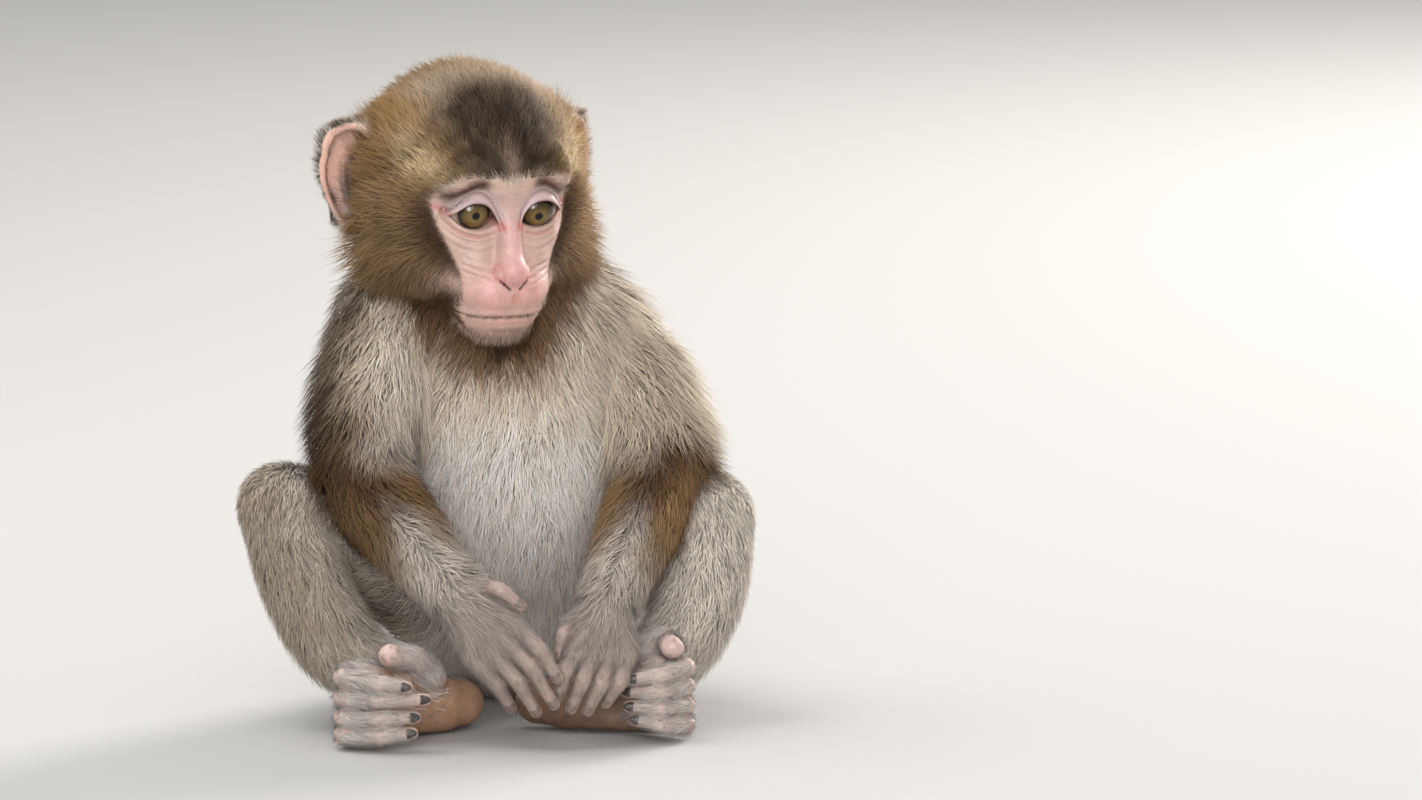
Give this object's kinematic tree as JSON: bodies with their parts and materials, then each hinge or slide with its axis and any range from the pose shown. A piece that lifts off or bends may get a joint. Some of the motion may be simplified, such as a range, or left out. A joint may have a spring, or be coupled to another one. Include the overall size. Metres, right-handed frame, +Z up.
{
  "type": "young macaque monkey model, sitting",
  "caption": "Life-size still model of a young Japanese macaque, sitting with knees drawn up and hands resting between its feet.",
  "frame": {"origin": "middle of the model's box at floor level", "axes": "+Z up; the animal faces -Y, and its left side is on +X"},
  "size_m": [0.2073, 0.206, 0.2642],
  "materials": {
    "coat_crown": "soft dark-brown fur, golden-buff at the sides",
    "coat_back": "long brown fur",
    "coat_belly": "long pale greyish-cream fur",
    "coat_arm": "golden-brown fur, paler towards the wrist",
    "coat_leg": "light grey-brown fur",
    "face_skin": "soft bare pale-pink skin",
    "ear_skin": "thin bare salmon-pink skin",
    "hand_skin": "wrinkled grey-pink skin under short pale hair",
    "nail": "dark grey keratin, slightly glossy",
    "eye": "wet, amber-olive iris with a dark rim"
  },
  "bodies": {
    "root": {"eye_left": "eye", "eye_right": "eye", "head": "coat_crown", "lower_jaw": "face_skin", "ear_left": "ear_skin", "ear_right": "ear_skin", "chest": "coat_belly", "abdomen": "coat_belly", "pelvis": "coat_back", "neck": "coat_crown", "tail": "coat_back", "thigh_right": "coat_leg", "foot_right": "hand_skin", "shank_right": "coat_leg", "thigh_left": "coat_leg", "foot_left": "hand_skin", "shank_left": "coat_leg", "toe_second_right": "hand_skin", "toe_third_right": "hand_skin", "toe_fourth_right": "hand_skin", "toe_fifth_right": "hand_skin", "toe_big_right": "hand_skin", "toe_second_left": "hand_skin", "toe_third_left": "hand_skin", "toe_fourth_left": "hand_skin", "toe_fifth_left": "hand_skin", "toe_big_left": "hand_skin", "upper_arm_right": "coat_arm", "forearm_right": "coat_arm", "hand_right": "hand_skin", "upper_arm_left": "coat_arm", "forearm_left": "coat_arm", "hand_left": "hand_skin", "finger_index_right": "hand_skin", "finger_middle_right": "hand_skin", "finger_ring_right": "hand_skin", "finger_little_right": "hand_skin", "thumb_right": "hand_skin", "finger_index_left": "hand_skin", "finger_middle_left": "hand_skin", "finger_ring_left": "hand_skin", "finger_little_left": "hand_skin", "thumb_left": "hand_skin"}
  },
  "joints": []
}
